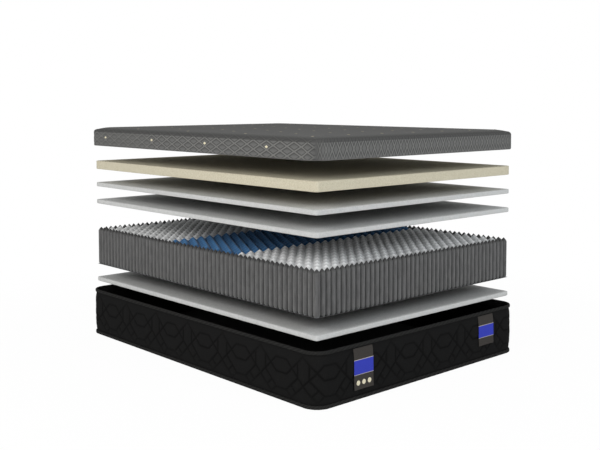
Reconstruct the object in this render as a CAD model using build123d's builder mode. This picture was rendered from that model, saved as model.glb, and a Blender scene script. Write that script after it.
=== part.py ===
"""Pocket-spring mattress with a foam layer, taken apart layer by layer above its casing.

Millimetres. +Z is up, the origin is under the middle of the casing, the length runs along Y
and the foot end, with the labels, faces -Y.
"""
import os
from math import ceil, cos, floor, pi, sin, sqrt

from build123d import *

os.makedirs("parts", exist_ok=True)

# Casing, measured over its edge tapes
casing_width = 1530
casing_length = 2030
casing_height = 270
corner_radius = 88
tape_height = 18
tape_roll = 9  # how far the tapes and the quilted swell stand out past the seams
tape_shares = (0, 0.07, 0.25, 0.5, 0.75, 0.93, 1)  # shares of a tape's height where its round is drawn
border_shares = (0, 0.04, 0.1, 0.2, 0.35, 0.5, 0.65, 0.8, 0.9, 0.96, 1)  # the same for the border's swell
seam_cloth = 3  # the quilted border where the seams flatten it
lining_cloth = 1.2
base_cloth_thickness = 1.5
base_padding_thickness = 4.5

# Clearances
sewn_gap = 0.3  # between pieces that are sewn face to face
seat_gap = 0.3  # under a layer that has come down on the one below
pad_clearance = 18.8  # between the pads and the casing's lining
corner_clearance = 1.5  # between the pads' corners and the lining's corners

# Loose layers
base_pad_thickness = 24.5
lower_felt_thickness = 25
upper_felt_thickness = 25
foam_thickness = 50
core_clearance = 4  # the spring unit stands this far inside the pads' outline

# How far each layer is lifted off the one below
base_pad_lift = 308
core_lift = 79
lower_felt_lift = 144
upper_felt_lift = 78
foam_lift = 80
cover_lift = 178

# Spring unit
column_count = 24
foot_rows = 10
lumbar_rows = 12
head_rows = 11
nest_share = 0.782  # lumbar rows are nested, so they lie this much closer than the other rows
side_edge_count = 56
end_edge_count = 43
edge_band = 34  # width of the ring of slim pockets around the unit
scrim_cloth = 1
pocket_height = 203
point_height = 19  # gathered point on top of each pocket
point_flat = 2  # radius of the stitched end of that point
point_shoulder = 0.4
pocket_gap = 0.6
pocket_cloth = 1.2
weld_cloth = 2.4  # two cloths welded together between pockets
spring_wall = 0.6  # the wire of a coil, spread into a sleeve
spring_clearance = 2
spring_seat = 0.8

# Cover
cover_inset = 4  # the cover's sides stand this far inside the casing's outline
cover_height = 110
cover_edge_radius = 18
cover_edge_steps = 6  # flats that make up the rounded edge
cover_crown = 12
crown_reach = 110  # distance from the sides over which the top rises to its full height
least_corner = 20  # corner radius of outlines far inside the casing's
hem_draw = 2
hem_height = 8
knit_cloth = 3
skirt_fill = 3.2
dot_radius = 8
dot_thickness = 1.5
dot_pitch_x = 230
dot_pitch_y = 246.4
dot_row_y = -665  # a row that has a dot on each long side
side_dot_height = 52  # of those dots above the hem
dot_gap = 0.1  # between a dot and the knit under it

# Labels, sewn under the top tape of the foot end
label_width = 129
label_cloth = 1.2
label_gap = 0.6  # between a label and the border behind it
label_bend = (0.98, 0.96, 0.9, 0.8)  # shares of the border's height where a label follows its swell
label_straight = 0.7  # a label hangs straight below this share of the border's height
long_label_x = -460
long_label_length = 202
long_panel_top = 59  # distance of a label's blue panel from the tape
long_panel_height = 73
short_label_x = 485
short_label_length = 165
short_panel_top = 55
short_panel_height = 68
panel_cloth = 0.6
disc_radius = 12
disc_pitch = 37.5
disc_count = 3
disc_drop = 38  # from the long label's blue panel to the middle of the discs

# Places and sizes that follow from those above
wall_inset = tape_roll + seam_cloth + lining_cloth
border_bottom = tape_height
border_top = casing_height - tape_height
label_back = -casing_length / 2 - label_gap
floor_height = base_cloth_thickness + base_padding_thickness
pad_inset = wall_inset + pad_clearance
pad_width = casing_width - 2 * pad_inset
pad_length = casing_length - 2 * pad_inset
wall_corner = corner_radius - wall_inset
pad_corner = ((wall_corner - pad_clearance) * sqrt(2) - wall_corner + corner_clearance) / (sqrt(2) - 1)
core_width = pad_width - 2 * core_clearance
core_length = pad_length - 2 * core_clearance
unit_height = pocket_height + point_height

base_pad_z = floor_height + seat_gap + base_pad_lift
core_z = base_pad_z + base_pad_thickness + seat_gap + core_lift
pocket_z = core_z + scrim_cloth
lower_felt_z = pocket_z + unit_height + seat_gap + lower_felt_lift
upper_felt_z = lower_felt_z + lower_felt_thickness + seat_gap + upper_felt_lift
foam_z = upper_felt_z + upper_felt_thickness + seat_gap + foam_lift

# With everything down there is a gap under each layer and one under the cover's ceiling
layers = (
    base_pad_thickness,
    scrim_cloth + unit_height,
    lower_felt_thickness,
    upper_felt_thickness,
    foam_thickness,
)
lowered_ceiling = floor_height + sum(layers) + (len(layers) + 1) * seat_gap
cover_depth = lowered_ceiling - casing_height - seat_gap
cover_ceiling = foam_z + foam_thickness + seat_gap + cover_lift
cover_z = cover_ceiling - cover_depth


def save(piece, name):
    piece.part.label = name
    export_step(piece.part, f"parts/{name}.step")


def outline_size(inset):
    # Width, length and corner radius of an outline that lies inward of the casing's
    return casing_width - 2 * inset, casing_length - 2 * inset, max(corner_radius - inset, least_corner)


def rounded_block(sections, hollow_inset=None):
    # Solid through rounded rectangles, each a height and an inset from the casing's outline
    bottom = sections[0][0]
    top = sections[-1][0]
    with BuildPart() as block:
        for height, inset in sections:
            with BuildSketch(Plane.XY.offset(height)):
                RectangleRounded(*outline_size(inset))
        loft(ruled=True)
        if hollow_inset is not None:
            with BuildSketch(Plane.XY.offset(bottom)):
                RectangleRounded(*outline_size(hollow_inset))
            extrude(amount=top - bottom, mode=Mode.SUBTRACT)
    return block


def border_height(share):
    return border_bottom + share * (border_top - border_bottom)


def border_inset(share):
    # The border swells between its two seams
    return tape_roll * abs(2 * share - 1) ** 4


def tape_ring(bottom):
    # Edge tape with a round outside
    sections = []
    for share in tape_shares:
        inset = tape_roll * (1 - sqrt(1 - (2 * share - 1) ** 2))
        sections.append((bottom + share * tape_height, inset))
    return rounded_block(sections, wall_inset)


def border_ring():
    sections = [(border_height(share), border_inset(share)) for share in border_shares]
    return rounded_block(sections, tape_roll + seam_cloth)


def lining_ring():
    inset = tape_roll + seam_cloth + sewn_gap
    return rounded_block([(border_bottom, inset), (border_top, inset)], wall_inset)


def base_sheet(bottom, thickness):
    inset = wall_inset + sewn_gap
    return rounded_block([(bottom, inset), (bottom + thickness, inset)])


def pad(bottom, thickness):
    with BuildPart() as slab:
        with BuildSketch(Plane.XY.offset(bottom)):
            RectangleRounded(pad_width, pad_length, pad_corner)
        extrude(amount=thickness)
    return slab


def pocket_string(columns, rows, pitch, radius):
    # One welded string of pockets in a line, each pocket hollow for its spring
    inside_height = pocket_height - 2 * pocket_cloth
    from_base = (Align.CENTER, Align.CENTER, Align.MIN)
    with BuildPart() as string:
        with BuildSketch(Plane.XY):
            with GridLocations(pitch, pitch, columns, rows):
                Circle(radius)
            Rectangle((columns - 1) * pitch + weld_cloth, (rows - 1) * pitch + weld_cloth)
        extrude(amount=pocket_height)
        with Locations((0, 0, pocket_height)):
            with GridLocations(pitch, pitch, columns, rows):
                Cone(radius - point_shoulder, point_flat, point_height, align=from_base)
        with Locations((0, 0, pocket_cloth)):
            with GridLocations(pitch, pitch, columns, rows):
                Cylinder(radius - pocket_cloth, inside_height, align=from_base, mode=Mode.SUBTRACT)
    return string


def placed(string, places):
    with BuildPart() as group:
        with Locations(*places):
            add(string.part)
    return group


def spring_sleeves(groups):
    # Springs of groups of pockets of one radius, each coil a thin sleeve that its pocket holds
    bottom = pocket_z + pocket_cloth + spring_seat
    with BuildPart() as springs:
        with BuildSketch(Plane.XY.offset(bottom)):
            for places, pocket_radius in groups:
                outside = pocket_radius - pocket_cloth - spring_clearance
                with Locations(*places):
                    Circle(outside)
                with Locations(*places):
                    Circle(outside - spring_wall, mode=Mode.SUBTRACT)
        extrude(amount=pocket_height - 2 * pocket_cloth - 2 * spring_seat)
    return springs


def spread(count, pitch):
    # Places of a number of pockets, the same to both sides of the middle
    return [(step - (count - 1) / 2) * pitch for step in range(count)]


def cover_sections(inward):
    # Hem, side, rounded edge and crown of the cover, or of a shell that lies inward of it
    inset = cover_inset + inward
    top = cover_z + cover_height - inward
    edge = cover_edge_radius - min(inward, cover_edge_radius / 2)
    edge_z = top - cover_crown - edge
    sections = [(cover_z, inset + hem_draw), (cover_z + hem_height, inset)]
    for step in range(cover_edge_steps + 1):
        angle = step * pi / 2 / cover_edge_steps
        sections.append((edge_z + edge * sin(angle), inset + edge * (1 - cos(angle))))
    sections.append((top, inset + crown_reach))
    return sections


def cover_shell():
    outer = rounded_block(cover_sections(0))
    inner = rounded_block(cover_sections(knit_cloth))
    with BuildPart() as shell:
        add(outer.part)
        add(inner.part, mode=Mode.SUBTRACT)
    return shell


def cover_padding():
    outer = rounded_block(cover_sections(knit_cloth + sewn_gap))
    inside = cover_inset + knit_cloth + sewn_gap + skirt_fill
    inner = rounded_block([(cover_z, inside), (cover_ceiling, inside)])
    with BuildPart() as padding:
        add(outer.part)
        add(inner.part, mode=Mode.SUBTRACT)
    return padding


def cover_surface(x, y):
    # Height of the cover's top at a place inside its rounded edge
    inset = min(casing_width / 2 - abs(x), casing_length / 2 - abs(y)) - cover_inset - cover_edge_radius
    rise = min(1, inset / (crown_reach - cover_edge_radius))
    return cover_z + cover_height - cover_crown * (1 - rise)


def steps_within(first, pitch, reach):
    # Whole steps of a pitch from a first place that stay within a reach to both sides of the middle
    return range(ceil((-reach - first) / pitch), floor((reach - first) / pitch) + 1)


def dot_places():
    # Staggered rows over the top, with every second row carried down the two long sides
    margin = cover_inset + 2 * cover_edge_radius + dot_radius
    reach_x = casing_width / 2 - margin
    reach_y = casing_length / 2 - margin
    slope_room = dot_radius * cover_crown / (crown_reach - cover_edge_radius)
    top_places = []
    side_rows = []
    for row in steps_within(dot_row_y, dot_pitch_y, reach_y):
        y = dot_row_y + row * dot_pitch_y
        on_sides = row % 2 == 0
        shift = dot_pitch_x / 2 if on_sides else 0
        for column in steps_within(shift, dot_pitch_x, reach_x):
            x = column * dot_pitch_x + shift
            highest = min(cover_surface(x, y) + slope_room, cover_z + cover_height)
            top_places.append((x, y, highest + dot_gap))
        if on_sides:
            side_rows.append((y, cover_z + side_dot_height))
    return top_places, side_rows


def cover_dots():
    top_places, side_rows = dot_places()
    side_x = casing_width / 2 - cover_inset + dot_gap
    from_base = (Align.CENTER, Align.CENTER, Align.MIN)
    with BuildPart() as dots:
        with Locations(*top_places):
            Cylinder(dot_radius, dot_thickness, align=from_base)
        with Locations(*[(side_x, y, z) for y, z in side_rows]):
            Cylinder(dot_radius, dot_thickness, rotation=(0, 90, 0), align=from_base)
        with Locations(*[(-side_x, y, z) for y, z in side_rows]):
            Cylinder(dot_radius, dot_thickness, rotation=(0, -90, 0), align=from_base)
    return dots


def label_strip(centre_x, length):
    # Cloth strip from its fold under the tape, out over the swell of the border, then straight down
    back = [(label_back + border_inset(share), border_height(share)) for share in label_bend]
    back.append((label_back, border_height(label_straight)))
    back.append((label_back, border_top - length))
    front = [(y - label_cloth, height) for y, height in reversed(back)]
    with BuildPart() as strip:
        with BuildSketch(Plane.YZ.offset(centre_x - label_width / 2)):
            with BuildLine():
                Polyline(*back, *front, close=True)
            make_face()
        extrude(amount=label_width)
    return strip


def label_panel(centre_x, top, height):
    middle_z = border_top - top - height / 2
    with BuildPart() as panel:
        with BuildSketch(Plane.XZ.offset(label_cloth - label_back)):
            with Locations((centre_x, middle_z)):
                Rectangle(label_width, height)
        extrude(amount=panel_cloth)
    return panel


def label_discs(centre_x):
    middle_z = border_top - long_panel_top - long_panel_height - disc_drop
    with BuildPart() as discs:
        with BuildSketch(Plane.XZ.offset(label_cloth - label_back)):
            with Locations((centre_x, middle_z)):
                with GridLocations(disc_pitch, disc_pitch, disc_count, 1):
                    Circle(disc_radius)
        extrude(amount=panel_cloth)
    return discs


# Casing
save(tape_ring(0), "bottom_tape")
save(border_ring(), "border_panel")
save(lining_ring(), "border_lining")
save(tape_ring(border_top), "top_tape")
save(base_sheet(0, base_cloth_thickness), "base_cloth")
save(base_sheet(base_cloth_thickness, base_padding_thickness), "base_padding")

# Labels
save(label_strip(long_label_x, long_label_length), "long_label")
save(label_panel(long_label_x, long_panel_top, long_panel_height), "long_label_panel")
save(label_discs(long_label_x), "long_label_discs")
save(label_strip(short_label_x, short_label_length), "short_label")
save(label_panel(short_label_x, short_panel_top, short_panel_height), "short_label_panel")

# Pads
save(pad(base_pad_z, base_pad_thickness), "base_pad")
save(pad(lower_felt_z, lower_felt_thickness), "lower_felt")
save(pad(upper_felt_z, upper_felt_thickness), "upper_felt")
save(pad(foam_z, foam_thickness), "memory_foam")

# Spring unit: a scrim, a ring of slim pockets, and rows of wide pockets across the width, with springs in all
with BuildPart() as core_scrim:
    with BuildSketch(Plane.XY.offset(core_z)):
        Rectangle(core_width, core_length)
    extrude(amount=scrim_cloth)
save(core_scrim, "core_scrim")

side_pitch = core_length / side_edge_count
side_radius = min(side_pitch, edge_band) / 2 - pocket_gap / 2
side_x = core_width / 2 - edge_band / 2
side_string = pocket_string(1, side_edge_count, side_pitch, side_radius)
save(placed(side_string, [(-side_x, 0, pocket_z)]), "left_edge_string")
save(placed(side_string, [(side_x, 0, pocket_z)]), "right_edge_string")

end_pitch = (core_width - 2 * edge_band) / end_edge_count
end_radius = min(end_pitch, edge_band) / 2 - pocket_gap / 2
end_y = core_length / 2 - edge_band / 2
end_string = pocket_string(end_edge_count, 1, end_pitch, end_radius)
save(placed(end_string, [(0, -end_y, pocket_z)]), "foot_edge_string")
save(placed(end_string, [(0, end_y, pocket_z)]), "head_edge_string")

side_places = [(x, y) for x in (-side_x, side_x) for y in spread(side_edge_count, side_pitch)]
end_places = [(x, y) for y in (-end_y, end_y) for x in spread(end_edge_count, end_pitch)]
save(spring_sleeves([(side_places, side_radius), (end_places, end_radius)]), "edge_springs")

# The blue lumbar rows are nested: every second one has a pocket less and is shifted by half a pocket
column_pitch = (core_width - 2 * edge_band) / column_count
row_pitch = (core_length - 2 * edge_band) / (foot_rows + head_rows + nest_share * lumbar_rows)
lumbar_pitch = nest_share * row_pitch
nest_distance = sqrt((column_pitch / 2) ** 2 + lumbar_pitch**2)
row_radius = min(column_pitch, nest_distance, (row_pitch + lumbar_pitch) / 2) / 2 - pocket_gap / 2
full_string = pocket_string(column_count, 1, column_pitch, row_radius)
nested_string = pocket_string(column_count - 1, 1, column_pitch, row_radius)
zones = (
    ("foot_zone", foot_rows, row_pitch),
    ("lumbar_zone", lumbar_rows, lumbar_pitch),
    ("head_zone", head_rows, row_pitch),
)
row_number = 0
zone_y = edge_band - core_length / 2
for zone, rows, pitch in zones:
    spring_places = []
    for row in range(rows):
        row_number += 1
        row_y = zone_y + (row + 0.5) * pitch
        nested = zone == "lumbar_zone" and row % 2 == 0
        string = nested_string if nested else full_string
        save(placed(string, [(0, row_y, pocket_z)]), f"pocket_row_{row_number:02d}")
        pockets = column_count - 1 if nested else column_count
        spring_places += [(x, row_y) for x in spread(pockets, column_pitch)]
    save(spring_sleeves([(spring_places, row_radius)]), f"{zone}_springs")
    zone_y += rows * pitch

# Cover
save(cover_shell(), "cover_knit")
save(cover_padding(), "cover_padding")
save(cover_dots(), "cover_dots")
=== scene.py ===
import math

import bpy
import numpy as np
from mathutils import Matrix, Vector


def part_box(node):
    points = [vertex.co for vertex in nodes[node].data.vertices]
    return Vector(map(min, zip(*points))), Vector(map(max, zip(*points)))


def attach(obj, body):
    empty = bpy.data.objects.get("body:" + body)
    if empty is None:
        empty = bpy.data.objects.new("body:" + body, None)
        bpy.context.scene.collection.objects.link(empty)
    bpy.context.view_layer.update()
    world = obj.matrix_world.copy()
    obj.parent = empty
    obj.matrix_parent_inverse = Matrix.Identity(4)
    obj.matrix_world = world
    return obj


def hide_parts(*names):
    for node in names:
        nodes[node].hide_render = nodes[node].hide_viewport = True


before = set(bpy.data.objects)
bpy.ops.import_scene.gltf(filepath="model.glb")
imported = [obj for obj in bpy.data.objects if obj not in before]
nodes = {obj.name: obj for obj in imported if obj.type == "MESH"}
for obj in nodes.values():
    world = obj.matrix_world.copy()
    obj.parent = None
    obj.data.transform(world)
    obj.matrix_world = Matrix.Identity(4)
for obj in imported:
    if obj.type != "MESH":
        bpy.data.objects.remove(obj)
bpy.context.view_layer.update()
mm = 0.001
print("frame loaded,", len(nodes), "nodes")


def tone(red, green, blue):  # colour as it is seen on a screen, 0 to 255, made linear
    seen = np.array([red, green, blue]) / 255
    linear = np.where(seen < 0.04045, seen / 12.92, ((seen + 0.055) / 1.055) ** 2.4)
    return (*linear.tolist(), 1.0)


class Value:  # a shader socket that takes part in Python arithmetic
    def __init__(self, owner, socket):
        self.owner = owner
        self.socket = socket

    def maths(self, operation, first, second):
        return self.owner.node("ShaderNodeMath", {"operation": operation}, {0: first, 1: second})

    def __add__(self, other):
        return self.maths("ADD", self, other)

    def __radd__(self, other):
        return self.maths("ADD", other, self)

    def __sub__(self, other):
        return self.maths("SUBTRACT", self, other)

    def __rsub__(self, other):
        return self.maths("SUBTRACT", other, self)

    def __mul__(self, other):
        return self.maths("MULTIPLY", self, other)

    def __rmul__(self, other):
        return self.maths("MULTIPLY", other, self)

    def __pow__(self, other):
        return self.maths("POWER", self, other)


class Nodes:  # a node tree, and the one way to add nodes to it
    def __init__(self, tree):
        self.tree = tree

    def node(self, kind, settings, inputs, output=0):
        made = self.tree.nodes.new(kind)
        for key, setting in settings.items():
            setattr(made, key, setting)
        for key, value in inputs.items():
            self.feed(made.inputs[key], value)
        return Value(self, made.outputs[output])

    def feed(self, socket, value):
        if isinstance(value, Value):
            self.tree.links.new(value.socket, socket)
        else:
            socket.default_value = value


class Finish(Nodes):  # one material, with the textures that cloth and foam need
    def __init__(self, name, roughness):
        self.material = bpy.data.materials.new(name)
        self.material.use_nodes = True
        super().__init__(self.material.node_tree)
        self.shader = self.tree.nodes["Principled BSDF"]
        self.shader.inputs["Roughness"].default_value = roughness
        self.shader.inputs["Specular IOR Level"].default_value = 0.05

    def place(self, *stretch):  # the piece's own coordinates, stretched along each axis
        spot = self.node("ShaderNodeTexCoord", {}, {}, "Object")
        return self.node("ShaderNodeMapping", {}, {"Vector": spot, "Scale": stretch})

    def noise(self, scale, detail=2.0, stretch=(1, 1, 1)):
        wants = {"Vector": self.place(*stretch), "Scale": scale, "Detail": detail}
        return self.node("ShaderNodeTexNoise", {}, wants, "Fac")

    def cells(self, scale):
        wants = {"Vector": self.place(1, 1, 1), "Scale": scale}
        return self.node("ShaderNodeTexVoronoi", {}, wants, "Distance")

    def steps(self, value, low, high):  # 0 below low, 1 above high, smooth between
        wants = {"Value": value, "From Min": low, "From Max": high}
        return self.node("ShaderNodeMapRange", {"interpolation_type": "SMOOTHSTEP"}, wants)

    def marked(self, attribute):  # a value that the mesh carries at its points
        return self.node("ShaderNodeAttribute", {"attribute_name": attribute}, {}, "Fac")

    def mix(self, share, first, second):
        return self.node("ShaderNodeMix", {"data_type": "RGBA"}, {0: share, 6: first, 7: second}, 2)

    def colour(self, value):
        self.feed(self.shader.inputs["Base Color"], value)

    def bump(self, height, distance, strength):
        wants = {"Height": height, "Distance": distance, "Strength": strength}
        self.feed(self.shader.inputs["Normal"], self.node("ShaderNodeBump", {}, wants, "Normal"))


def feltFinish(name, pale, dark, warp):  # needle-punched felt: short fibres lying along the sheet
    felt = Finish(name, 0.95)
    fibres = felt.noise(300, 4, (1, 1, warp))
    tufts = felt.noise(55, 3)
    felt.colour(felt.mix(felt.steps(fibres * 0.8 + tufts * 0.2, 0.34, 0.62), dark, pale))
    felt.bump(fibres, 1.2 * mm, 0.5)
    return felt.material


def foamFinish():  # open-cell foam with small pores
    foam = Finish("slowFoam", 0.9)
    pores = foam.cells(330)
    blots = foam.noise(130, 3)
    shade = foam.steps(pores, 0.12, 0.5) * 0.7 + foam.steps(blots, 0.3, 0.7) * 0.3
    foam.colour(foam.mix(shade, tone(169, 161, 135), tone(204, 198, 178)))
    foam.bump(pores, 1.0 * mm, 0.5)
    return foam.material


cordPitch = 41.0  # mm between neighbouring cords of one family, on the cover's long sides


def knitFinish():  # jacquard knit: pale cords with painted shadow along their edges, and painted shade in each cell's upper part under the cord above
    knit = Finish("coverKnit", 0.85)
    one = knit.marked("cordOne")  # whole numbers lie on the cords of a family
    two = knit.marked("cordTwo")
    nearest = one.maths("MINIMUM", one.maths("PINGPONG", one, 0.5), two.maths("PINGPONG", two, 0.5))
    gap = nearest * cordPitch
    woven = knit.marked("woven")
    cord = (1 - knit.steps(gap, 1.9, 4.7)) * woven
    # painted shadow along both sides of each cord
    rim = knit.steps(gap, 3.4, 5.2) * (1 - knit.steps(gap, 6.0, 10.0)) * woven
    loops = knit.cells(420)
    ground = knit.mix(knit.steps(loops, 0.1, 0.6), tone(97, 97, 96), tone(105, 105, 104))
    # painted shade in each cell's upper part, under the cord above
    shaded = knit.mix(rim.maths("MAXIMUM", rim * 0.66, knit.marked("paintedCellShade")), ground, tone(46, 46, 46))
    corded = knit.mix(cord, shaded, tone(112, 112, 110))
    # painted shade on the rounded edge, round the corners and a little over the whole top
    knit.colour(knit.mix(knit.marked("shade"), corded, tone(56, 56, 56)))
    knit.bump(loops * -0.15 + cord * 1.5, 0.8 * mm, 0.4)
    return knit.material


def quiltFinish():  # dark border cloth, darker along the stitch lines (partly the stitching, partly painted shade in the crease) with a broad painted shade round them
    quilt = Finish("quiltedBorderCloth", 0.9)
    threads = quilt.noise(520, 2, (1, 1, 3))
    cloth = quilt.mix(threads, tone(12, 12, 12), tone(33, 33, 33))
    stitch = quilt.marked("stitch")
    # stitch * 0.6 darkens the lines, partly stitching and partly painted shade; stitch ** 0.2 * 0.12 is a
    # broad painted shade round them
    quilt.colour(quilt.mix(stitch * 0.6 + stitch ** 0.2 * 0.12, cloth, tone(7, 7, 7)))
    quilt.bump(threads, 0.5 * mm, 0.5)
    return quilt.material


def tapeFinish():  # woven edge tape with slanting ribs
    tape = Finish("edgeTapeTwill", 0.85)
    ribs = tape.marked("rib")
    threads = tape.noise(600)
    shade = tape.steps(ribs * 0.3 + threads * 0.7, 0.2, 0.8)
    tape.colour(tape.mix(shade, tone(26, 26, 26), tone(46, 46, 45)))
    tape.bump(ribs * 0.3 + threads * 0.5, 0.4 * mm, 0.5)
    return tape.material


def liningFinish(name, shade):  # plain dark cloth inside the casing
    cloth = Finish(name, 0.95)
    threads = cloth.noise(450)
    cloth.colour(cloth.mix(threads, tone(shade, shade, shade), tone(shade * 2, shade * 2, shade * 2)))
    cloth.bump(threads, 0.4 * mm, 0.4)
    return cloth.material


def pocketFinish(name, dark, pale, drawn):  # bonded cloth with pressed points, with painted shade mixed in by the pocket's mark
    pocket = Finish(name, 0.8)
    pocket.shader.inputs["Sheen Weight"].default_value = 0.25
    points = pocket.cells(300)
    creases = pocket.noise(70, 3, (1, 1, 0.25))
    shade = pocket.steps(creases, 0.3, 0.7) * 0.5 + pocket.steps(points, 0.1, 0.5) * 0.5
    cloth = pocket.mix(shade, dark, pale)
    # painted shade: the mark darkens each pocket at its foot, on its gathered point and where it meets the
    # next pocket
    pocket.colour(pocket.mix(pocket.marked("drawn"), cloth, drawn))
    pocket.bump(points * -0.2 + creases * 0.5, 1.0 * mm, 0.3)
    return pocket.material


def labelFinish(name, dark, pale):  # close woven label cloth
    cloth = Finish(name, 0.7)
    weft = cloth.noise(700, 2, (0.3, 1, 2.5))
    cloth.colour(cloth.mix(weft, dark, pale))
    cloth.bump(weft, 0.3 * mm, 0.4)
    return cloth


def panelFinish():  # blue panel between two thin metallic lines
    panel = labelFinish("labelPanelBlue", tone(44, 52, 150), tone(66, 76, 194))
    base = panel.shader.inputs["Base Color"].links[0].from_socket
    panel.colour(panel.mix(panel.marked("trim"), Value(panel, base), tone(205, 197, 172)))
    return panel.material


def yarnFinish(name, dark, pale, topTuftTone):  # loose yarn, darker on the tufts on the cover's top
    yarn = Finish(name, 0.85)
    strands = yarn.noise(700)
    yarn.colour(yarn.mix(yarn.marked("flat"), yarn.mix(strands, dark, pale), topTuftTone))
    yarn.bump(strands, 0.6 * mm, 0.6)
    return yarn.material


def steelFinish():  # drawn spring wire
    steel = Finish("springSteel", 0.35)
    steel.shader.inputs["Metallic"].default_value = 1.0
    drawn = steel.noise(90, 2, (1, 1, 8))
    steel.colour(steel.mix(drawn, tone(130, 132, 136), tone(172, 174, 178)))
    return steel.material


whiteFelt = feltFinish("whiteFelt", tone(203, 204, 203), tone(177, 178, 177), 5)
foamCells = foamFinish()
coverCloth = knitFinish()
borderCloth = quiltFinish()
tapeCloth = tapeFinish()
liningCloth = liningFinish("casingLining", 14)
# paler copy of the lining for the casing's base: painted light that offsets the shade of the pad above
paintedLightBaseCloth = liningFinish("paintedLightBaseCloth", 22)
greyPocket = pocketFinish("greyPocketCloth", tone(71, 71, 71), tone(99, 99, 99), tone(42, 42, 42))
whitePocket = pocketFinish("whitePocketCloth", tone(230, 231, 232), tone(243, 244, 244), tone(178, 179, 180))
bluePocket = pocketFinish("bluePocketCloth", tone(66, 117, 165), tone(80, 133, 183), tone(42, 82, 123))
labelCloth = labelFinish("labelCloth", tone(46, 43, 41), tone(74, 71, 68)).material
labelBlue = panelFinish()
creamYarn = yarnFinish("creamYarn", tone(205, 196, 165), tone(240, 233, 208), tone(146, 141, 126))
quiltFill = feltFinish("quiltFill", tone(160, 160, 158), tone(134, 134, 132), 1)
scrimCloth = liningFinish("scrimCloth", 50)
springSteel = steelFinish()
print("finishes made")


def joined(*parts):  # arrays or numbers set side by side, as the columns of points or of marks
    return np.stack(np.broadcast_arrays(*parts), -1)


def bendCorner(x, y, halfX, halfY, radius):
    # Slides points of a sharp rectangle onto the rounded one. Beside a corner, turn = 45 degrees *
    # (1 - leg / radius), leg across = radius * (1 - cos turn) and leg along = radius * (1 - sin turn).
    legX = halfX - np.abs(x)
    legY = halfY - np.abs(y)
    leg = np.maximum(legX, legY)
    turn = np.clip(1 - leg / radius, 0, 1) * np.pi / 4
    out = radius * (1 - np.cos(turn))
    along = np.where(leg < radius, radius * (1 - np.sin(turn)), leg)
    onEnd = legY <= legX
    newX = np.sign(x) * (halfX - np.where(onEnd, along, out))
    newY = np.sign(y) * (halfY - np.where(onEnd, out, along))
    normalX = np.sign(x) * np.where(onEnd, np.sin(turn), np.cos(turn))
    normalY = np.sign(y) * np.where(onEnd, np.cos(turn), np.sin(turn))
    return newX, newY, normalX, normalY


def ringPath(halfX, halfY, radius, across, along):
    # Rounded rectangle walked anticlockwise from its near left corner
    stepsX = np.linspace(-halfX, halfX, across, endpoint=False)
    stepsY = np.linspace(-halfY, halfY, along, endpoint=False)
    x = np.concatenate([stepsX, np.full(along, halfX), -stepsX, np.full(along, -halfX)])
    y = np.concatenate([np.full(across, -halfY), stepsY, np.full(across, halfY), -stepsY])
    return bendCorner(x, y, halfX, halfY, radius)


def runLength(x, y):  # distance walked from the first point of a path to each of its points
    return np.append(0, np.cumsum(np.hypot(np.diff(x), np.diff(y))))


leastCorner = 4 * mm  # no ring gets a sharper corner than this


def carryProfile(outline, insets, heights, relief=None):
    # Profile (inset, height) carried round a rounded rectangle. Row j is the path drawn inward by inset j,
    # moved by relief[j, i] along the surface's normal, which leans up by the profile's own slope.
    halfX, halfY, radius, across, along = outline
    slopeIn = np.gradient(insets)
    slopeUp = np.gradient(heights)
    size = np.hypot(slopeIn, slopeUp)
    rows = []
    for row, (inset, height) in enumerate(zip(insets, heights)):
        corner = max(radius - inset, leastCorner)
        x, y, normalX, normalY = ringPath(halfX - inset, halfY - inset, corner, across, along)
        move = 0 if relief is None else relief[row]
        outward = move * slopeUp[row] / size[row]
        upward = move * slopeIn[row] / size[row]
        rows.append(joined(x + normalX * outward, y + normalY * outward, height + upward))
    return np.array(rows)


def gridQuads(rows, columns, closedRows=False):
    # Corners of each cell of a grid closed round its columns, anticlockwise from outside when rows run up
    row, column = np.meshgrid(np.arange(rows if closedRows else rows - 1), np.arange(columns), indexing="ij")
    here = row * columns
    above = (row + 1) % rows * columns
    after = (column + 1) % columns
    return joined(here + column, here + after, above + after, above + column).reshape(-1, 4)


def stackFaces(count, levels, sides):
    # Faces of a number of small shapes, each a stack of rings of points: sides, bottom and top
    perShape = levels * sides
    starts = np.arange(count)[:, None] * perShape
    faces = (gridQuads(levels, sides)[None] + starts[:, :, None]).reshape(-1, 4).tolist()
    faces += (np.arange(sides)[::-1][None, :] + starts).tolist()
    faces += (np.arange(perShape - sides, perShape)[None, :] + starts).tolist()
    return faces


def ringAngles(sides):  # angles of the points of a small ring
    return np.arange(sides) * 2 * np.pi / sides


def panelGrid(ring, halfX, halfY, radius, across, along, first):
    # Flat panel inside a ring of points: cell (a, b) lies at (a halfX, b halfY), and the corner's rounding
    # fades inward with max(|a|, |b|)^8. Gives the inner points, and the cells from the ring inward.
    a, b = np.meshgrid(np.linspace(-1, 1, across + 1), np.linspace(-1, 1, along + 1))
    reach = np.maximum(np.maximum(np.abs(a), np.abs(b)), 1e-6)
    x, y, _, _ = bendCorner(a / reach * halfX, b / reach * halfY, halfX, halfY, radius)
    fade = reach ** 8
    x = a * halfX + (x - a / reach * halfX) * fade
    y = b * halfY + (y - b / reach * halfY) * fade
    index = np.zeros((along + 1, across + 1), int)
    index[1:-1, 1:-1] = first + np.arange((along - 1) * (across - 1)).reshape(along - 1, across - 1)
    index[0, :-1] = ring[:across]
    index[:-1, -1] = ring[across:across + along]
    index[-1, :0:-1] = ring[across + along:2 * across + along]
    index[:0:-1, 0] = ring[2 * across + along:]
    cells = joined(index[:-1, :-1], index[:-1, 1:], index[1:, 1:], index[1:, :-1]).reshape(-1, 4)
    return x[1:-1, 1:-1].ravel(), y[1:-1, 1:-1].ravel(), cells


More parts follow.
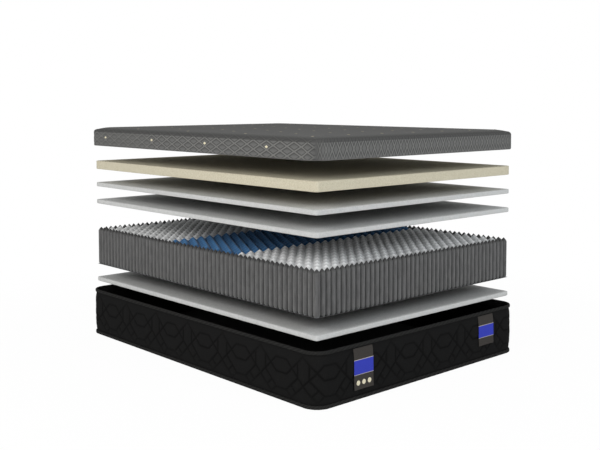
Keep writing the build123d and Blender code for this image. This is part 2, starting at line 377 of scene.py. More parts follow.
def closeRows(rows, topSize, lowSize):
    # Inner points of the panels that close a stack of rings above and below, and all the stack's faces
    levels, count = rows.shape[:2]
    first = levels * count
    ring = np.arange(count)
    topX, topY, topCells = panelGrid(ring + first - count, *topSize, first)
    lowX, lowY, lowCells = panelGrid(ring, *lowSize, first + len(topX))
    faces = gridQuads(levels, count).tolist() + topCells.tolist() + lowCells[:, ::-1].tolist()
    return topX, topY, lowX, lowY, faces


def unevenness(x, y, size, seed):
    # Low waves in several directions, 0.6 to 1.8 times size long, that add up to between about -1 and 1
    waves = 9
    draw = np.random.default_rng(seed)
    total = np.zeros_like(x)
    for _ in range(waves):
        angle = draw.uniform(0, 2 * np.pi)
        wave = size * draw.uniform(0.6, 1.8)
        total += np.sin((x * np.cos(angle) + y * np.sin(angle)) * 2 * np.pi / wave + draw.uniform(0, 6.3))
    return total / (waves / 2)


def addPiece(name, points, faces, finish, body, slot, node, **marks):
    mesh = bpy.data.meshes.new(name)
    mesh.from_pydata(points.reshape(-1, 3).tolist(), [], faces)
    mesh.polygons.foreach_set("use_smooth", np.ones(len(mesh.polygons), bool))
    for key, values in marks.items():
        layer = mesh.attributes.new(key, "FLOAT", "POINT")
        layer.data.foreach_set("value", np.ravel(values).astype(np.float32))
    mesh.materials.append(finish)
    mesh.update()
    piece = bpy.data.objects.new(name, mesh)
    bpy.context.scene.collection.objects.link(piece)
    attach(piece, body)
    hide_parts(node)
    return piece


casing = {
    "halfX": 765 * mm, "halfY": 1015 * mm, "corner": 88 * mm, "height": 270 * mm,
    "tape": 18 * mm, "roll": 9 * mm, "wall": 13.2 * mm,
}
casingOutline = (casing["halfX"], casing["halfY"], casing["corner"])


def softBlock(name, spec, finish, body, slot, node):
    # Slab with rounded edges: quarter circles of radius edge below and above a straight side, closed by two
    # panels. Its lumps stay inside the slab's faces and fade towards the rim.
    low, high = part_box(node)
    halfX, halfY = high.x, high.y
    edge, across, along = spec["edge"], spec["across"], spec["along"]
    turn = np.linspace(-np.pi / 2, 0, 5)
    insets = np.append(edge * (1 - np.cos(turn)), edge * (1 - np.cos(turn[::-1])))
    heights = np.append(low.z + edge * (1 + np.sin(turn)), high.z - edge * (1 + np.sin(turn[::-1])))
    outline = (halfX, halfY, spec["corner"], across, along)
    x, y, _, _ = ringPath(*outline)
    wobble = unevenness(x * 3, y * 3, spec["wave"], spec["seed"]) * spec["rough"]  # shorter waves than on top
    wobble = wobble - wobble.max() + spec["swell"]
    share = np.sin(np.linspace(0, np.pi, len(insets)))
    sides = carryProfile(outline, insets, heights, share[:, None] * wobble)
    panel = (halfX - edge, halfY - edge, spec["corner"] - edge, across, along)
    panelX, panelY, _, _, faces = closeRows(sides, panel, panel)
    rise = unevenness(panelX, panelY, spec["wave"], spec["seed"] + 1) * spec["lumps"]
    rim = np.clip(np.minimum(halfX - np.abs(panelX), halfY - np.abs(panelY)) / spec["wave"], 0, 1)
    top = joined(panelX, panelY, high.z + (rise - rise.max()) * rim)
    bottom = joined(panelX, panelY, low.z + (rise - rise.min()) * rim)
    points = np.concatenate([sides.reshape(-1, 3), top, bottom])
    return addPiece(name, points, faces, finish, body, slot, node)


feltPads = {
    "edge": 5 * mm, "corner": 14.2 * mm, "across": 92, "along": 124, "wave": 150 * mm, "rough": 0.9 * mm,
    "swell": 1.2 * mm, "lumps": 0.5 * mm,
}
foamSlab = {
    **feltPads, "edge": 4 * mm, "wave": 260 * mm, "rough": 0.6 * mm, "swell": 0.9 * mm, "lumps": 0.6 * mm,
    "seed": 17,
}
for seed, node in enumerate(("base_pad", "lower_felt", "upper_felt")):
    pad = softBlock(node + "_felt", {**feltPads, "seed": 3 * seed + 2}, whiteFelt, node, "white_felt", node)
softBlock("memory_foam_slab", foamSlab, foamCells, "memory_foam", "foam", "memory_foam")
print("pads and foam made")


bead = {
    "across": 170, "along": 226, "sides": 20, "ribRun": 12 * mm, "ribSlant": 0.7, "pucker": 0.5 * mm,
    "puckerRun": 46 * mm,
}


def edgeTape(name, node):
    # Rolled tape, a closed curve carried round the casing: inset = wall / 2 * (1 - |cos|^0.75) and
    # height = tape / 2 * |sin|^0.85, each power with the sign of its cosine or sine
    low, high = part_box(node)
    angle = np.linspace(0, 2 * np.pi, bead["sides"], endpoint=False) - np.pi / 2
    middle = (low.z + high.z) / 2
    insets = casing["wall"] / 2 * (1 - np.sign(np.cos(angle)) * np.abs(np.cos(angle)) ** 0.75)
    heights = middle + casing["tape"] / 2 * np.sign(np.sin(angle)) * np.abs(np.sin(angle)) ** 0.85
    outline = (*casingOutline, bead["across"], bead["along"])
    x, y, _, _ = ringPath(*outline)
    run = runLength(x, y)
    pucker = np.sin(run * 2 * np.pi / bead["puckerRun"] + 3 * np.sin(run * 5)) * bead["pucker"]
    relief = np.maximum(np.cos(angle), 0)[:, None] * (pucker - bead["pucker"])
    points = carryProfile(outline, insets, heights, relief)
    slanted = run + angle[:, None] * casing["tape"] / 2 * bead["ribSlant"]
    ribs = 0.5 + 0.5 * np.sin(slanted * 2 * np.pi / bead["ribRun"])
    faces = gridQuads(len(angle), points.shape[1], closedRows=True).tolist()
    piece = addPiece(name, points, faces, tapeCloth, "casing", "edge_tape", node, rib=ribs)


edgeTape("top_edge_tape", "top_tape")
edgeTape("bottom_edge_tape", "bottom_tape")


# Quilting of the border: lines of half a motif, (across, height) in mm from the motif's middle and the floor
border = {
    "across": 320, "along": 425, "levels": 58, "depth": 3.6 * mm, "lineWidth": 4.0, "puff": 2.0 * mm,
    "puffReach": 26.0, "repeat": 271.0, "seamCloth": 3 * mm, "tuck": 4 * mm,
    "lines": [
        ((-33, 203), (-216, 20)), ((-150, 252), (-33, 134)), ((-33, 203), (0, 203)), ((-33, 134), (0, 134)),
        ((-102.5, 131), (-102.5, 204.5)), ((-102.5, 131), (-32, 60)), ((-32, 60), (-74, 18)),
        ((-91.75, 57.25), (-60.25, 88.75)), ((-32, 58), (0, 58)),
    ],
    # repeats walked by the end of each side, from the near left corner anticlockwise
    "walked": [-2.264, 3.241, 9.736, 15.205, 21.736],
}


def quiltLines():  # the motif's lines, mirrored and set out over three repeats
    lines = np.array(border["lines"], float)
    both = np.concatenate([lines, lines * [-1, 1]])
    shift = np.array([border["repeat"], 0])
    return np.concatenate([both - shift, both, both + shift])


def nearestLine(across, height):
    # Distance from each point to the nearest line: foot of the perpendicular, kept between the line's ends
    best = np.full(across.shape, 1e9)
    for start, end in quiltLines():
        step = end - start
        share = ((across - start[0]) * step[0] + (height - start[1]) * step[1]) / (step @ step)
        share = np.clip(share, 0, 1)
        away = np.hypot(across - start[0] - share * step[0], height - start[1] - share * step[1])
        best = np.minimum(best, away)
    return best


def quiltedBorder():
    # Upright panel that draws in by roll * |2 share - 1|^4 towards its two seams. Stitches sink it by
    # depth * exp(-(away / lineWidth)^2), and the padding round them by puff * exp(-(away / puffReach)^2).
    low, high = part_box("border_panel")
    share = np.linspace(0, 1, border["levels"])
    heights = low.z + share * (high.z - low.z)
    swell = casing["roll"] * np.abs(2 * share - 1) ** 4
    outline = (*casingOutline, border["across"], border["along"])
    x, y, _, _ = ringPath(*outline)
    run = runLength(x, y)
    sides = np.cumsum([0, border["across"], border["along"], border["across"]])
    corners = np.append(run[sides], run[-1] + np.hypot(x[0] - x[-1], y[0] - y[-1]))
    repeats = np.interp(run, corners, border["walked"])
    across = (repeats - np.round(repeats)) * border["repeat"]
    across, height = np.meshgrid(across, heights / mm)
    away = nearestLine(across, height)
    stitch = np.exp(-(away / border["lineWidth"]) ** 2)
    soft = (1 - np.abs(2 * share - 1) ** 3)[:, None]
    relief = -soft * (border["depth"] * stitch + border["puff"] * np.exp(-(away / border["puffReach"]) ** 2))
    back = casing["roll"] + border["seamCloth"]
    tucked = [high.z + border["tuck"], (low.z + high.z) / 2, low.z - border["tuck"]]
    insets = np.append(swell, [back] * len(tucked))
    heights = np.append(heights, tucked)
    plainBack = ((0, len(tucked)), (0, 0))
    relief = np.pad(relief, plainBack)
    stitch = np.pad(stitch * soft, plainBack)
    points = carryProfile(outline, insets, heights, relief)
    faces = gridQuads(len(insets), points.shape[1], closedRows=True).tolist()
    piece = addPiece("quilted_border", points, faces, borderCloth, "casing", "border_quilt",
                     "border_panel", stitch=stitch)


quiltedBorder()
print("border and tapes made")


lining = {"across": 96, "along": 128, "levels": 9, "cloth": 0.9 * mm}


def borderLining():  # thin upright sheet behind the border, a closed strip carried round
    low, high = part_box("border_lining")
    outside = casing["halfX"] - high.x
    levels = np.linspace(low.z - border["tuck"], high.z + border["tuck"], lining["levels"])
    insets = np.repeat([outside, outside + lining["cloth"]], lining["levels"])
    heights = np.append(levels, levels[::-1])
    outline = (*casingOutline, lining["across"], lining["along"])
    points = carryProfile(outline, insets, heights)
    faces = gridQuads(len(insets), points.shape[1], closedRows=True).tolist()
    piece = addPiece("casing_lining_wall", points, faces, liningCloth, "casing", "casing_lining",
                     "border_lining")
    around = 2 * (high.x - low.x + high.y - low.y) - (8 - 2 * np.pi) * (casing["corner"] - outside)


borderLining()
casingBase = {
    "edge": 0.6 * mm, "corner": 74.5 * mm, "across": 60, "along": 80, "wave": 120 * mm, "rough": 0.0,
    "swell": 0.0, "lumps": 0.0, "seed": 31,
}
underCloth = softBlock("casing_base_cloth", casingBase, paintedLightBaseCloth, "casing", "casing_lining", "base_cloth")
basePad = {**casingBase, "edge": 1.8 * mm, "lumps": 0.3 * mm}
underPad = softBlock("casing_base_padding", basePad, paintedLightBaseCloth, "casing", "casing_lining", "base_padding")
print("lining and base made")


# Pockets: share of the height, share of the radius, and how much painted shade darkens the cloth, first at
# the levels of the upright part, then at those of the gathered point
edgePocket = {
    "upright": [(0.0, 0.74, 0.4), (0.045, 0.99, 0.0), (0.975, 1.0, 0.0), (1.0, 0.97, 0.15)],
    "point": [(0.45, 0.66, 0.6), (1.0, 0.08, 0.9)],
    "sides": 12, "seamShade": 0.42, "lean": 0.6 * mm, "turn": 0.0,
}
rowPocket = {
    "upright": [(0.0, 0.9, 0.3), (0.985, 0.99, 0.5)],
    "point": [(0.05, 0.95, 0.55), (0.36, 0.67, 0.8), (0.72, 0.34, 0.3), (1.0, 0.07, 0.0)],
    "sides": 8, "seamShade": 0.3, "lean": 0.5 * mm, "turn": 0.3,
}
core = {  # the spring unit's rows and strings
    "columns": 24, "footRows": 10, "lumbarRows": 12, "headRows": 11, "nestShare": 0.782,
    "sideCount": 56, "endCount": 43, "band": 34 * mm, "gap": 0.3 * mm, "height": 203 * mm, "point": 19 * mm,
    "edgeSeed": 50, "rowSeed": 100,
}


def pocketString(name, shape, centres, radius, finish, slot, node, seed):
    # A pocket is a ring of points per level, of radius * share, and its point leans a little. Painted shade
    # darkens the cloth by the shape's seam share * |cos|^6 of the angle to the string's direction, where it
    # meets the next pocket.
    low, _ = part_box(node)
    draw = np.random.default_rng(seed)
    tall, point = core["height"], core["point"]
    upright = np.array(shape["upright"]) * [tall, 1, 1]
    pointed = np.array(shape["point"]) * [point, 1, 1] + [tall, 0, 0]
    height, share, drawnIn = np.concatenate([upright, pointed]).T[:, :, None]
    count, sides = len(centres), shape["sides"]
    run = centres[-1] - centres[0]
    angle = ringAngles(sides) + np.arctan2(run[1], run[0])
    spin = angle + draw.uniform(-shape["turn"], shape["turn"], (count, 1, 1))
    lean = draw.normal(0, 1, (count, 2, 1, 1)) * shape["lean"]
    lean = lean * np.clip((height - tall) / point, 0, 1)
    x = centres[:, 0, None, None] + radius * share * np.cos(spin) + lean[:, 0]
    y = centres[:, 1, None, None] + radius * share * np.sin(spin) + lean[:, 1]
    points = joined(x, y, low.z + height)
    # painted shade where a pocket meets the next one along its string
    paintedSeamShade = shape["seamShade"] * np.abs(np.cos(angle - angle[0])) ** 6
    drawn = np.broadcast_to(np.maximum(drawnIn, paintedSeamShade), x.shape)
    faces = stackFaces(count, len(height), sides)
    piece = addPiece(name, points, faces, finish, "spring_unit", slot, node, drawn=drawn)


def spread(count, pitch):  # places of a number of things, the same to both sides of the middle
    return (np.arange(count) - (count - 1) / 2) * pitch


def edgeStrings(halfX, halfY):  # slim pockets: two strings along the sides, two between them at the ends
    band = core["band"]
    sidePitch = 2 * halfY / core["sideCount"]
    endPitch = 2 * (halfX - band) / core["endCount"]
    sideY = spread(core["sideCount"], sidePitch)
    endX = spread(core["endCount"], endPitch)
    sideX = halfX - band / 2
    endY = halfY - band / 2
    strings = (
        ("left", -sideX, sideY, sidePitch), ("right", sideX, sideY, sidePitch),
        ("foot", endX, -endY, endPitch), ("head", endX, endY, endPitch),
    )
    for number, (name, x, y, pitch) in enumerate(strings):
        radius = min(pitch, band) / 2 - core["gap"]
        pocketString(name + "_edge_pockets", edgePocket, joined(x, y), radius, greyPocket, "grey_pocket",
                     name + "_edge_string", core["edgeSeed"] + number)


def pocketRows(halfX, halfY):
    # Rows across the unit; every second lumbar row has one pocket less and nests between its neighbours
    band = core["band"]
    columnPitch = 2 * (halfX - band) / core["columns"]
    straight = core["footRows"] + core["headRows"]
    rowPitch = 2 * (halfY - band) / (straight + core["nestShare"] * core["lumbarRows"])
    lumbarPitch = core["nestShare"] * rowPitch
    nestGap = math.hypot(columnPitch / 2, lumbarPitch)
    radius = min(columnPitch, nestGap, (rowPitch + lumbarPitch) / 2) / 2 - core["gap"]
    zones = (
        ("footRows", rowPitch, whitePocket, "white_pocket"),
        ("lumbarRows", lumbarPitch, bluePocket, "blue_pocket"),
        ("headRows", rowPitch, whitePocket, "white_pocket"),
    )
    edge = band - halfY
    number = 0
    for zone, pitch, finish, slot in zones:
        for row in range(core[zone]):
            number += 1
            shorter = 1 if zone == "lumbarRows" and row % 2 == 0 else 0
            x = spread(core["columns"] - shorter, columnPitch)
            centres = joined(x, edge + pitch / 2)
            edge += pitch
            pocketString(f"pockets_row_{number:02d}", rowPocket, centres, radius, finish, slot,
                         f"pocket_row_{number:02d}", core["rowSeed"] + number)


_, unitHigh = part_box("core_scrim")
edgeStrings(unitHigh.x, unitHigh.y)
pocketRows(unitHigh.x, unitHigh.y)
scrim = {**casingBase, "edge": 0.4 * mm, "corner": 3 * mm, "seed": 71}
scrimSheet = softBlock("spring_unit_scrim", scrim, scrimCloth, "spring_unit", "scrim", "core_scrim")
for node in nodes:
    if node.endswith("_springs"):
        nodes[node].data.materials.clear()
        nodes[node].data.materials.append(springSteel)
print("spring unit made")


cover = {
    "across": 320, "along": 400, "sideRows": 22, "edgeRows": 8, "edge": 18 * mm, "hem": 2 * mm,
    "hemHeight": 8 * mm, "crown": 12 * mm, "crownReach": 110 * mm, "cloth": 3 * mm, "corner": 84 * mm,
    "steepest": 80, "panelGap": 5 * mm,
    # cells of the cord lattice in mm: length along the face, height, and one cell's middle
    "longCell": (98.56, 45.0, -665.5, 60.3), "shortCell": (46.0, 96.0, -591.6, 48.0), "bunching": 1.5,
    # the long and short cell shares paint shade into each cell's upper part, under the cord above
    "cord": 5.0, "cordRise": 1.2 * mm, "fineRise": 0.5 * mm, "longCellShade": 0.6, "shortCellShade": 0.05,
    "topWeave": 0.15, "rimWeave": 0.6, "hemFade": 5.0, "cornerFade": 8, "edgeFade": 6,
    # topShade, edgeShade and cornerShade are painted shade on the top, the rounded edge and the corners
    "topShade": 0.13, "edgeShade": 0.6, "cornerShade": 0.5, "shadeReach": 60 * mm,
}
coverMarks = ("cordOne", "cordTwo", "woven", "paintedCellShade", "shade")


def cordLattice(along, up, cell):
    # Two families of cords run where u + a + 1/2 or u - a + 1/2 is a whole number, with a = along / length
    # and u = up / height from a cell's middle. The last value tells how high a point stands in its cell,
    # 0 up to its middle and 1 near its top.
    length, height, middleAlong, middleUp = cell
    a = (along - middleAlong) / length
    u = (up - middleUp) / height
    first, second = u + a + 0.5, u - a + 0.5
    high = (first - np.floor(first) + second - np.floor(second)) / 2
    return first, second, np.clip((high - 0.5) / 0.45, 0, 1)


def crownLift(x, y, halfX, halfY, corner, edge):
    # Rise of the top over its rim, crown * sin(90 degrees * share), and the distance from the rounded
    # outline. share grows with that distance, from the rounded edge to the crown's reach.
    legX, legY = halfX - np.abs(x), halfY - np.abs(y)
    fromCorner = corner - np.hypot(corner - legX, corner - legY)
    depth = np.where((legX < corner) & (legY < corner), fromCorner, np.minimum(legX, legY))
    share = np.clip((depth - edge) / (cover["crownReach"] - edge), 0, 1)
    return cover["crown"] * np.sin(share * np.pi / 2), depth


def outsideProfile(low, sideTop):
    # Outside of the cover from the hem up: a straight side, drawn in at the hem, and a rounded edge
    straight = np.linspace(low.z, sideTop, cover["sideRows"])
    turn = np.radians(np.linspace(0, cover["steepest"], cover["edgeRows"] + 1))[1:]
    hem = cover["hem"] * np.clip(1 - (straight - low.z) / cover["hemHeight"], 0, 1) ** 2
    insets = np.append(hem, cover["edge"] * (1 - np.cos(turn)))
    return insets, np.append(straight, sideTop + cover["edge"] * np.sin(turn))


def insideProfile(low, sideTop):  # inside of the cloth, from the rounded edge down to the hem
    cloth = cover["cloth"]
    edge = cover["edge"] - cloth
    turn = np.radians([cover["steepest"], 50, 25, 0])
    insets = np.append(cloth + edge * (1 - np.cos(turn)), [cloth, cloth + cover["hem"]])
    return insets, np.append(sideTop + edge * np.sin(turn), [low.z + cover["hemHeight"], low.z])


def sideWeave(outline, up, bend):
    # Marks of the sides and the rise of their cords. up is the way along the cloth from the hem in mm, bend
    # the share of the rounded edge. A corner's arc counts bunching times, so the cells crowd together there.
    halfX, halfY, corner = outline[:3]
    x, y, normalX, normalY = ringPath(*outline)
    onLong = np.abs(normalX) > np.abs(normalY)
    rounded = np.arcsin(np.minimum(np.abs(normalX), np.abs(normalY)))  # angle walked round a corner
    reachX, reachY = halfX - corner, halfY - corner
    straight = np.where(onLong, np.clip(y, -reachY, reachY), np.clip(x, -reachX, reachX))
    place = (straight + np.sign(straight) * corner * rounded * cover["bunching"]) / mm
    cells = np.array([cover["longCell"], cover["shortCell"]])[:, :, None]
    one, two, high = cordLattice(place, up, np.where(onLong, *cells))
    meeting = rounded / np.radians(45)  # 1 where two faces meet
    woven = np.clip(up / cover["hemFade"], 0, 1) * np.clip((1 - meeting) * cover["cornerFade"], 0, 1)
    woven = woven * (1 - (1 - cover["rimWeave"]) * bend)
    # painted shade in each cell's upper part, under the cord above
    paintedCellShade = high * np.where(onLong, cover["longCellShade"], cover["shortCellShade"]) * woven
    # painted shade on the rounded edge and round the corners
    shade = np.clip(bend * cover["edgeFade"], 0, 1) * cover["edgeShade"]
    shade = np.maximum(shade, meeting ** 2 * cover["cornerShade"])
    gap = np.abs(np.stack([one - np.round(one), two - np.round(two)])).min(0) * cordPitch
    tall = np.where(onLong, cover["cordRise"], cover["fineRise"])
    rise = np.exp(-(gap / cover["cord"]) ** 2) * tall * woven
    return joined(one, two, woven, paintedCellShade, shade), rise


def coverPanel(outline, rimZ, sideLength, first, rim, every, sunk):
    # Top or ceiling of the cover: a panel sunk below the crown, and a strip of cells that joins it to a rim,
    # with every so many rim points to one of its own. The long sides' lattice runs on over it and fades.
    halfX, halfY, corner, across, along = outline
    edge = cover["edge"]
    gap = edge + cover["panelGap"]
    size = (halfX - gap, halfY - gap, corner - gap, across // every, along // every)
    ringX, ringY, _, _ = ringPath(*size)
    step = np.arange(len(ringX))
    ring = first + step
    panelX, panelY, cells = panelGrid(ring, *size, first + len(ring))
    x = np.append(ringX, panelX)
    y = np.append(ringY, panelY)
    lift, depth = crownLift(x, y, halfX, halfY, corner, edge)
    rimPoints = [rim + (every * step + part) % (every * len(ring)) for part in range(every + 1)]
    strip = joined(*rimPoints, ring[(step + 1) % len(ring)], ring)
    one, two, _ = cordLattice(y / mm, sideLength + (halfX - edge + x) / mm, cover["longCell"])
    fade = np.clip(1 - (depth - edge) / cover["shadeReach"], 0, 1)
    woven = cover["topWeave"] + (cover["rimWeave"] - cover["topWeave"]) * fade
    # painted shade, deepest at the rim and fading inward, with a little over the whole top
    shade = np.maximum(fade * cover["edgeShade"], cover["topShade"])
    marks = joined(one, two, woven, 0, shade)
    return joined(x, y, rimZ + lift - sunk), strip, cells, marks


def knittedCover():
    low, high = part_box("cover_knit")
    outline = (high.x, high.y, cover["corner"], cover["across"], cover["along"])
    rimZ = high.z - cover["crown"]
    sideTop = rimZ - cover["edge"]
    insets, heights = outsideProfile(low, sideTop)
    up = runLength(insets, heights) / mm
    bend = np.clip((heights - sideTop) / cover["edge"], 0, 1)[:, None]
    sideMarks, rise = sideWeave(outline, up[:, None], bend)
    sides = carryProfile(outline, insets, heights, rise - cover["cordRise"])
    inside = carryProfile(outline, *insideProfile(low, sideTop))
    rows = np.concatenate([inside, sides])
    count = rows.shape[1]
    first = len(rows) * count
    points = [rows.reshape(-1, 3)]
    marks = [np.zeros((inside.size // 3, len(coverMarks))), sideMarks.reshape(-1, len(coverMarks))]
    faces = gridQuads(len(rows), count).tolist()
    # the top joins the outside's rim and faces up, the ceiling joins the inside's rim and faces down
    panels = ((first - count, 2, cover["cordRise"], 1), (0, 4, cover["cloth"], -1))
    for rim, every, sunk, facing in panels:
        panel, strip, cells, panelMarks = coverPanel(outline, rimZ, up[-1], first, rim, every, sunk)
        points.append(panel)
        marks.append(panelMarks)
        faces += strip[:, ::facing].tolist() + cells[:, ::facing].tolist()
        first += len(panel)
    marks = dict(zip(coverMarks, np.concatenate(marks).T))
    points = np.concatenate(points)
    piece = addPiece("knitted_cover", points, faces, coverCloth, "cover", "cover_knit", "cover_knit", **marks)


knittedCover()


coverFill = {
    "across": 80, "along": 106, "levels": 8, "turns": 6, "cloth": 3.3 * mm, "skirt": 3.2 * mm,
    "top": 21.7 * mm, "lumps": 0.4 * mm, "wave": 180 * mm, "seed": 91,
}


def paddingUnderCover():
    # Soft fill inside the cover: a skirt and a thick top, closed below by the ceiling that meets the foam
    low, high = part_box("cover_padding")
    halfX, halfY = high.x, high.y
    corner = cover["corner"] - coverFill["cloth"]
    edge = cover["edge"] - coverFill["cloth"]
    across, along, skirt = coverFill["across"], coverFill["along"], coverFill["skirt"]
    ceiling = high.z - coverFill["top"]
    rimZ = high.z - cover["crown"]
    upright = np.linspace(low.z, rimZ - edge, coverFill["levels"])
    turn = np.linspace(0, np.pi / 2, coverFill["turns"] + 1)[1:]
    insets = np.concatenate([[skirt, skirt], np.zeros(len(upright)), edge * (1 - np.cos(turn))])
    heights = np.concatenate([[ceiling, low.z], upright, rimZ - edge + edge * np.sin(turn)])
    rows = carryProfile((halfX, halfY, corner, across, along), insets, heights)
    topSize = (halfX - edge, halfY - edge, corner - edge, across, along)
    lowSize = (halfX - skirt, halfY - skirt, corner - skirt, across, along)
    topX, topY, lowX, lowY, faces = closeRows(rows, topSize, lowSize)
    lift, _ = crownLift(topX, topY, halfX, halfY, corner, edge)
    sag = unevenness(lowX, lowY, coverFill["wave"], coverFill["seed"])
    top = joined(topX, topY, rimZ + lift)
    bottom = joined(lowX, lowY, ceiling + coverFill["lumps"] * (sag - sag.min()))
    points = np.concatenate([rows.reshape(-1, 3), top, bottom])
    piece = addPiece("cover_fill", points, faces, quiltFill, "cover", "quilt_fill", "cover_padding")


paddingUnderCover()


tuft = {
    "radius": 8 * mm, "rise": 1.7 * mm, "sideRise": 2.2 * mm, "sides": 12, "strands": 6, "scallop": 0.07,
    "pitchX": 230 * mm, "pitchY": 246.4 * mm, "columns": 4, "rowY": -665 * mm, "sideHeight": 52 * mm,
    "margin": 48 * mm, "inset": 4 * mm, "sink": 0.8 * mm, "topSink": 1.4 * mm,
    "rings": [(1.0, 0.0), (0.98, 0.45), (0.72, 0.85), (0.3, 1.0)], "lozenge": (12.5 * mm, 7.0 * mm),
}


def tuftPlaces(low):  # staggered rows over the top, every second row carried down the long sides
    reachX = casing["halfX"] - tuft["margin"]
    reachY = casing["halfY"] - tuft["margin"]
    firstRow = np.ceil((-reachY - tuft["rowY"]) / tuft["pitchY"])
    lastRow = np.floor((reachY - tuft["rowY"]) / tuft["pitchY"])
    rows = np.arange(firstRow, lastRow + 1)
    row, column = np.meshgrid(rows, np.arange(-tuft["columns"], tuft["columns"] + 1), indexing="ij")
    x = (column + ((row + 1) % 2) / 2) * tuft["pitchX"]
    y = tuft["rowY"] + row * tuft["pitchY"]
    kept = np.abs(x) <= reachX
    sideY = tuft["rowY"] + rows[rows % 2 == 0] * tuft["pitchY"]
    sideX = casing["halfX"] - tuft["inset"] - tuft["sink"]
    right = joined(sideX, sideY, low.z + tuft["sideHeight"])
    return x[kept], y[kept], right


def coverTufts():
    # Yarn tufts: rings of falling radius make a low dome, with a scallop of cos(strands * angle)
    low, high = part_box("cover_knit")
    topX, topY, right = tuftPlaces(low)
    share, dome = np.array(tuft["rings"]).T[:, :, None]
    angle = ringAngles(tuft["sides"])
    size = tuft["radius"] * share * (1 + tuft["scallop"] * np.cos(tuft["strands"] * angle))
    x = topX[:, None, None] + size * np.cos(angle)
    y = topY[:, None, None] + size * np.sin(angle)
    lift, _ = crownLift(x, y, high.x, high.y, cover["corner"], cover["edge"])
    z = high.z - cover["crown"] + lift - tuft["topSink"] + dome * tuft["rise"]
    upward = joined(x, y, z)
    wide, tall = tuft["lozenge"]  # side tufts are lozenges: |a| / wide + |b| / tall = 1
    reach = share / (np.abs(np.cos(angle)) / wide + np.abs(np.sin(angle)) / tall)
    sideways = joined(dome * tuft["sideRise"], reach * np.cos(angle), reach * np.sin(angle))
    right = right[:, None, None, :]
    left = right * [-1, 1, 1]
    points = np.concatenate([upward, right + sideways, left + sideways * [-1, -1, 1]])
    faces = stackFaces(len(points), len(share), tuft["sides"])
    flat = np.repeat(np.arange(len(points)) < len(topX), size.size)
    addPiece("cover_tufts", points, faces, creamYarn, "cover", "dot_yarn", "cover_dots", flat=flat)


coverTufts()
print("cover made")


label = {
    "width": 129 * mm, "cloth": 1.2 * mm, "columns": 22, "rowStep": 3.5 * mm, "curl": 3.0 * mm,
    "wave": 0.8 * mm, "standOff": 0.6 * mm, "layerGap": 0.05 * mm, "topDrop": 4.7 * mm, "bentAbove": 0.7,
}
labelPanel = {"cloth": 0.6 * mm, "trim": 3.2 * mm}
disc = {
    "radius": [12, 11.4, 5.5], "rise": [0, 0.55, 0.8], "count": 3, "pitch": 37.5 * mm, "drop": 170 * mm,
    "sides": 24,
}
# middle and length of each label, and the drops from the tape to the two ends of its blue panel
labels = {
    "long_label": {"centre": -460 * mm, "length": 202 * mm, "panel": (59 * mm, 132 * mm)},
    "short_label": {"centre": 485 * mm, "length": 165 * mm, "panel": (55 * mm, 123 * mm)},
}


def labelPath(drop):
    # Back of a label at a drop below the tape: it follows the border's swell, roll * |2 share - 1|^4, where
    # share is of the border's height, and then hangs straight
    top = casing["height"] - casing["tape"]
    tall = casing["height"] - 2 * casing["tape"]
    share = 1 - drop / tall
    swell = casing["roll"] * np.abs(2 * share - 1) ** 4
    y = -casing["halfY"] - label["standOff"] + np.where(share > label["bentAbove"], swell, 0)
    return y, top - drop


def labelLift(across, fall):
    # How far a label stands off the border: free corners curl with fall^4, and a slow wave runs down it
    curl = label["curl"] * fall ** 4 * (0.35 + 0.65 * across ** 2)
    return curl + label["wave"] * (0.5 + 0.5 * np.sin(fall * 9 + across * 2)) * fall


def labelSheet(body, name, ends, layer, finish, slot, node, trim=None):
    # Cloth between two drops, as wide as the label: each row lies on the label's path at its drop
    start, end = ends
    offset, thickness = layer  # distance from the path, and the cloth's own
    across = np.linspace(-1, 1, label["columns"] + 1)
    drops = np.linspace(start, end, max(6, int((end - start) / label["rowStep"])))
    y, z = labelPath(drops)
    lift = labelLift(across, drops[:, None] / labels[body]["length"])
    x = labels[body]["centre"] + across * label["width"] / 2
    back = joined(x, y[:, None] - lift - offset, z[:, None])
    front = back - np.array([0, thickness, 0])
    loops = np.concatenate([front, back[:, ::-1]], 1)[::-1]
    rows, columns = loops.shape[:2]
    marks = {}
    if trim is not None:
        nearEnd = np.minimum(drops - start, end - drops)
        marks["trim"] = np.repeat((nearEnd < trim)[::-1, None], columns, 1)
    faces = stackFaces(1, rows, columns)
    piece = addPiece(name, loops, faces, finish, body, slot, node, **marks)
    end - start


def labelDiscs(body):  # woven discs, each a low dome of a few rings on the label's face
    angle = ringAngles(disc["sides"])
    radius = np.array(disc["radius"])[:, None] * mm
    rise = np.array(disc["rise"])[:, None] * mm
    x = spread(disc["count"], disc["pitch"])[:, None, None] + radius * np.cos(angle)
    drop = disc["drop"] - radius * np.sin(angle)
    y, height = labelPath(drop)
    lift = labelLift(x / (label["width"] / 2), drop / labels[body]["length"])
    y = y - lift - label["cloth"] - label["layerGap"] - rise
    points = joined(labels[body]["centre"] + x, y, height)
    faces = stackFaces(disc["count"], len(radius), disc["sides"])
    node = body + "_discs"
    flat = np.zeros(points.shape[:-1])
    addPiece(node + "_woven", points, faces, creamYarn, body, "label_cream", node, flat=flat)


for body, spot in labels.items():
    stripEnds = (label["topDrop"], spot["length"])
    labelSheet(body, body + "_strip", stripEnds, (0, label["cloth"]), labelCloth, "label_cloth", body)
    panelLayer = (label["cloth"] + label["layerGap"], labelPanel["cloth"])
    labelSheet(body, body + "_blue", spot["panel"], panelLayer, labelBlue, "label_blue", body + "_panel",
               labelPanel["trim"])
labelDiscs("long_label")
print("labels made")


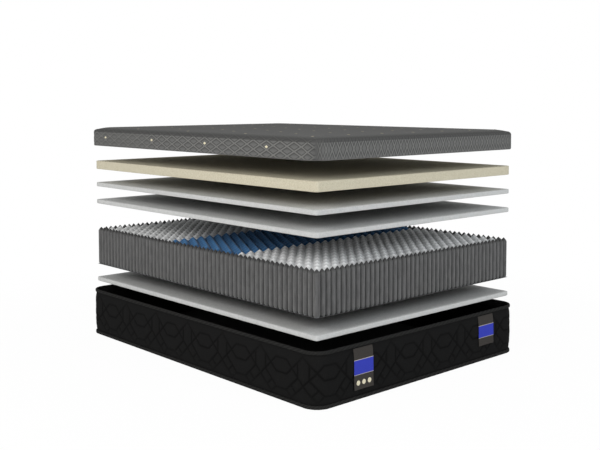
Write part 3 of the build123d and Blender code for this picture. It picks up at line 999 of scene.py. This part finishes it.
# Floor, light and camera
studio = {
    "world": 0.53, "floor": tone(250, 250, 250), "floorHalf": 30.0, "floorDrop": 0.6 * mm, "white": 0.97,
    "fade": (1.4, 3.2),
    "lamps": [
        ("leftLamp", (-6.4, -1.2, 4.1), (0, 0, 0.6), 3.5, 226, (1.0, 0.985, 0.965)),
        ("rightLamp", (0.8, -7.0, 4.1), (0, 0, 0.6), 3.5, 174, (0.925, 0.966, 1.0)),
    ],
}
pureWhite = (1, 1, 1, 1)


def addFloor():  # pale floor under the part, nearly pure white to the camera and wholly so farther out
    half, z = studio["floorHalf"], -studio["floorDrop"]
    mesh = bpy.data.meshes.new("floor")
    corners = [(-half, -half, z), (half, -half, z), (half, half, z), (-half, half, z)]
    mesh.from_pydata(corners, [], [(0, 1, 2, 3)])
    plane = bpy.data.objects.new("floor", mesh)
    bpy.context.scene.collection.objects.link(plane)
    floor = Finish("paleFloor", 0.9)
    floor.colour(studio["floor"])
    seen = floor.node("ShaderNodeLightPath", {}, {}, "Is Camera Ray")
    for ray in ("Is Glossy Ray", "Is Transmission Ray"):
        seen = seen + floor.node("ShaderNodeLightPath", {}, {}, ray)
    spot = floor.node("ShaderNodeTexCoord", {}, {}, "Object")
    away = floor.node("ShaderNodeVectorMath", {"operation": "LENGTH"}, {0: spot}, "Value")
    share = studio["white"] + floor.steps(away, *studio["fade"]) * (1 - studio["white"])
    white = floor.node("ShaderNodeEmission", {}, {"Color": pureWhite, "Strength": 1.0})
    shader = Value(floor, floor.shader.outputs[0])
    mixed = floor.node("ShaderNodeMixShader", {}, {0: seen * share, 1: shader, 2: white})
    floor.feed(floor.tree.nodes["Material Output"].inputs["Surface"], mixed)
    mesh.materials.append(floor.material)


def addWorld():  # soft light from all round, pure white to the camera
    world = bpy.data.worlds.new("studio")
    bpy.context.scene.world = world
    world.use_nodes = True
    sky = Nodes(world.node_tree)
    background = sky.tree.nodes["Background"]
    sky.feed(background.inputs["Color"], pureWhite)
    sky.feed(background.inputs["Strength"], studio["world"])
    light = Value(sky, background.outputs[0])
    seen = sky.node("ShaderNodeBackground", {}, {"Color": pureWhite})
    straight = sky.node("ShaderNodeLightPath", {}, {}, "Is Camera Ray")
    mixed = sky.node("ShaderNodeMixShader", {}, {0: straight, 1: light, 2: seen})
    sky.feed(sky.tree.nodes["World Output"].inputs["Surface"], mixed)


def addLamp(name, place, aim, size, power, colour):
    lamp = bpy.data.lights.new(name, "AREA")
    lamp.shape = "DISK"
    lamp.size = size
    lamp.energy = power
    lamp.color = colour
    holder = bpy.data.objects.new(name, lamp)
    holder.location = place
    holder.rotation_euler = (Vector(aim) - Vector(place)).to_track_quat("-Z", "Y").to_euler()
    bpy.context.scene.collection.objects.link(holder)


view = {
    "place": (-3.5526, -4.0391, 1.4131), "heading": 43.104, "dip": 3.312, "lens": 55.726, "sensor": 36,
    "shift": (-0.0384, -0.12), "farthest": 200,
}


def addCamera():
    lens = bpy.data.cameras.new("photoCamera")
    lens.sensor_width = view["sensor"]
    lens.lens = view["lens"]
    lens.shift_x, lens.shift_y = view["shift"]
    lens.clip_end = view["farthest"]
    camera = bpy.data.objects.new("photoCamera", lens)
    camera.location = view["place"]
    camera.rotation_euler = (math.radians(90 - view["dip"]), 0, -math.radians(view["heading"]))
    bpy.context.scene.collection.objects.link(camera)
    bpy.context.scene.camera = camera


addFloor()
addWorld()
for lamp in studio["lamps"]:
    addLamp(*lamp)
addCamera()
bpy.context.scene.view_settings.view_transform = "Standard"
print("studio made")
